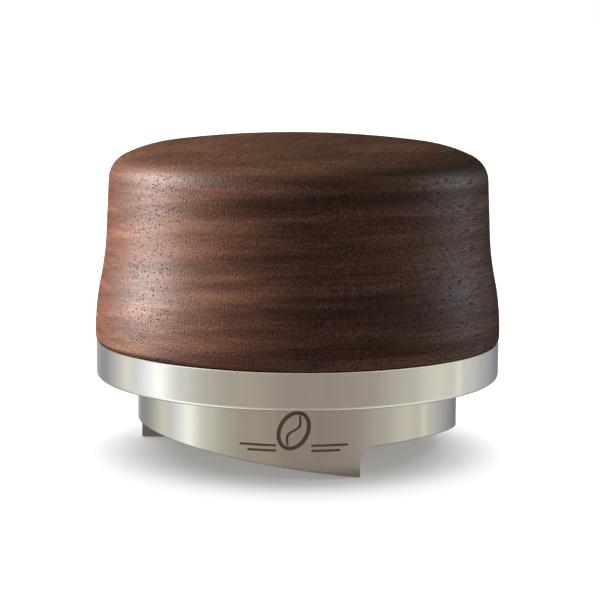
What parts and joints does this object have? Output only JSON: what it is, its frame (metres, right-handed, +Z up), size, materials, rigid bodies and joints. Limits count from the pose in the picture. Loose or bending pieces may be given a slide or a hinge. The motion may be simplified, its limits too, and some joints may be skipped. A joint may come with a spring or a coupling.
{
  "type": "coffee distribution tool",
  "caption": "Palm-sized coffee leveller: round steel base with sloping faces under a turned wooden grip on a steel collar, screwed up or down to set its depth.",
  "frame": {"origin": "on the tool's axis, in the plane of the three lowest tips, which it stands on", "axes": "+Z up along the axis towards the wooden grip; -Y is the side with the mark on the base"},
  "size_m": [0.0737, 0.0736, 0.0571],
  "materials": {
    "base_steel": "satin, fine turned",
    "collar_steel": "bright, fine turned",
    "inner_steel": "machined",
    "fastener_steel": "zinc plated",
    "bush_brass": "machined",
    "ring_rubber": "matte",
    "walnut": "oiled walnut, open grain"
  },
  "bodies": {
    "base_unit": {"base": "base_steel", "stem": "inner_steel", "stem_pins": "fastener_steel", "stem_bolt": "fastener_steel", "stem_washer": "fastener_steel"},
    "depth_slide": {"friction_ring": "ring_rubber"},
    "grip_unit": {"collar": "collar_steel", "thread_bush": "bush_brass", "bush_screws": "fastener_steel", "handle_inserts": "bush_brass", "handle_screws": "fastener_steel", "handle": "walnut"}
  },
  "joints": [
    {"name": "depth_travel", "type": "slide", "parent": "base_unit", "child": "depth_slide", "axis": [0, 0, 1], "range_m": [-0.00801, 0.00101]},
    {"name": "depth_turn", "type": "hinge", "parent": "depth_slide", "child": "grip_unit", "pos_m": [0, 0, 0], "axis": [0, 0, 1], "range_deg": [-1920, 240]}
  ],
  "couplings": [
    {"joint": "depth_travel", "follows": "depth_turn", "m_per_rad": 0.00023873}
  ]
}
